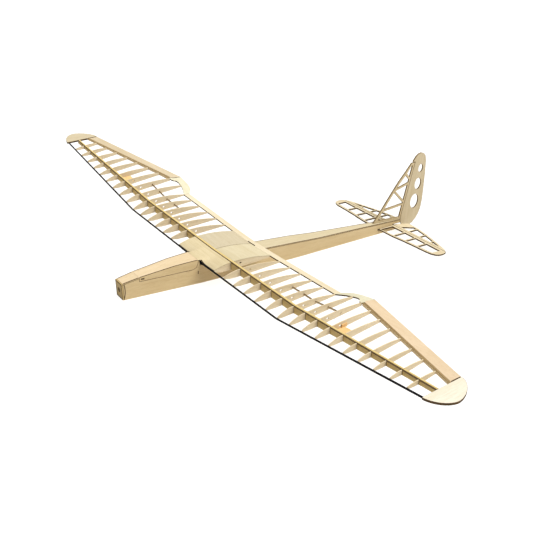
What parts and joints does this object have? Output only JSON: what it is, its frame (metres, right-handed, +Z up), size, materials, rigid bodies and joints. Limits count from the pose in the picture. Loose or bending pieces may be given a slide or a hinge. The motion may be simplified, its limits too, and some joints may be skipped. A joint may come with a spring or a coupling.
{
  "type": "rc glider",
  "caption": "Bare-wood built-up radio-control sailplane with open rib wing, carbon leading edge, hinged ailerons, elevator and rudder, and lift-off nose hatch.",
  "frame": {"origin": "middle of the overall box, on the ground under the straight belly", "axes": "+X to the aircraft's left wing tip, +Y aft towards the tail, +Z up; the belly of the fuselage lies along Y on the ground"},
  "size_m": [1.6, 0.9744, 0.2226],
  "materials": {
    "balsa_sheet": "bare laser-cut balsa sheet, fine sanded",
    "balsa_rib": "bare balsa, laser-burnt edges",
    "balsa_hard": "bare hard balsa strip",
    "birch_ply": "bare thin birch plywood, laser-burnt edges",
    "carbon_rod": "black carbon-fibre rod, satin",
    "black_plastic": "moulded black plastic",
    "white_nylon": "moulded white nylon",
    "battery_wrap": "blue heat-shrink sleeve",
    "steel_wire": "bare spring-steel wire"
  },
  "bodies": {
    "airframe": {"wing_frame_inner_left": "balsa_rib", "wing_frame_outer_left": "balsa_rib", "spar_cap_top_left": "balsa_hard", "spar_cap_bottom_left": "balsa_hard", "leading_edge_rod_left": "carbon_rod", "trailing_edge_strip_left": "balsa_sheet", "trailing_edge_flare_left": "balsa_sheet", "aileron_spar_left": "balsa_rib", "mid_chord_stick_left": "balsa_rib", "wing_tip_left": "balsa_sheet", "aileron_servo_plate_left": "birch_ply", "wing_frame_inner_right": "balsa_rib", "wing_frame_outer_right": "balsa_rib", "spar_cap_top_right": "balsa_hard", "spar_cap_bottom_right": "balsa_hard", "leading_edge_rod_right": "carbon_rod", "trailing_edge_strip_right": "balsa_sheet", "trailing_edge_flare_right": "balsa_sheet", "aileron_spar_right": "balsa_rib", "mid_chord_stick_right": "balsa_rib", "wing_tip_right": "balsa_sheet", "aileron_servo_plate_right": "birch_ply", "centre_sheet_front": "balsa_sheet", "centre_sheet_rear_left": "balsa_sheet", "centre_sheet_rear_right": "balsa_sheet", "centre_sheet_bottom": "balsa_sheet", "fuselage_side_left": "balsa_sheet", "fuselage_side_right": "balsa_sheet", "fuselage_bottom": "balsa_sheet", "nose_deck": "balsa_sheet", "tail_deck": "balsa_sheet", "nose_plate": "birch_ply", "former_nose": "birch_ply", "former_wing_front": "birch_ply", "former_wing_rear": "birch_ply", "former_tail": "birch_ply", "battery_pack": "battery_wrap", "receiver": "black_plastic", "servo_tray": "birch_ply", "servo_elevator": "black_plastic", "servo_rudder": "black_plastic", "stabiliser": "balsa_sheet", "fin": "balsa_sheet"},
    "aileron_left": {"aileron_left": "balsa_hard"},
    "aileron_right": {"aileron_right": "balsa_hard"},
    "elevator": {"elevator": "balsa_sheet", "elevator_horn": "white_nylon"},
    "rudder": {"rudder": "balsa_sheet", "rudder_horn": "white_nylon"},
    "hatch": {"nose_hatch": "balsa_sheet"},
    "servo_arm_elevator": {"servo_arm_elevator": "white_nylon"},
    "servo_arm_rudder": {"servo_arm_rudder": "white_nylon"},
    "pushrod_elevator": {"pushrod_elevator": "steel_wire"},
    "pushrod_rudder": {"pushrod_rudder": "steel_wire"}
  },
  "joints": [
    {"name": "aileron_left_hinge", "type": "hinge", "parent": "airframe", "child": "aileron_left", "pos_m": [0.4285, -0.12403, 0.09501], "axis": [0.948, -0.3013, 0.1031], "range_deg": [-20, 20]},
    {"name": "aileron_right_hinge", "type": "hinge", "parent": "airframe", "child": "aileron_right", "pos_m": [-0.4285, -0.12403, 0.09501], "axis": [0.948, 0.3013, -0.1031], "range_deg": [-20, 20]},
    {"name": "elevator_hinge", "type": "hinge", "parent": "airframe", "child": "elevator", "pos_m": [0, 0.37861, 0.01336], "axis": [1, 0, 0], "range_deg": [-20, 20]},
    {"name": "elevator_servo", "type": "hinge", "parent": "airframe", "child": "servo_arm_elevator", "pos_m": [0.011, -0.22126, 0.0286], "axis": [0, -0.0812, 0.9967], "range_deg": [-20.5, 20.5]},
    {"name": "elevator_pushrod_slide", "type": "slide", "parent": "airframe", "child": "pushrod_elevator", "axis": [0, 0.9991, -0.0433], "range_m": [-0.0034, 0.0034]},
    {"name": "rudder_hinge", "type": "hinge", "parent": "airframe", "child": "rudder", "pos_m": [0, 0.42117, 0.12109], "axis": [0, 0.1583, 0.9874], "range_deg": [-25, 25]},
    {"name": "rudder_servo", "type": "hinge", "parent": "airframe", "child": "servo_arm_rudder", "pos_m": [-0.011, -0.22126, 0.0286], "axis": [0, -0.0812, 0.9967], "range_deg": [-34.5, 34.5]},
    {"name": "rudder_pushrod_slide", "type": "slide", "parent": "airframe", "child": "pushrod_rudder", "axis": [-0.0169, 0.9998, -0.0126], "range_m": [-0.0056, 0.0056]},
    {"name": "hatch_lift_off", "type": "slide", "parent": "airframe", "child": "hatch", "axis": [0, -0.0812, 0.9967], "range_m": [0, 0.1]}
  ],
  "couplings": [
    {"joint": "elevator_servo", "follows": "elevator_hinge", "ratio": -1},
    {"joint": "elevator_pushrod_slide", "follows": "elevator_hinge", "m_per_rad": 0.0092},
    {"joint": "rudder_servo", "follows": "rudder_hinge", "ratio": -1.3587},
    {"joint": "rudder_pushrod_slide", "follows": "rudder_hinge", "m_per_rad": -0.0125}
  ]
}
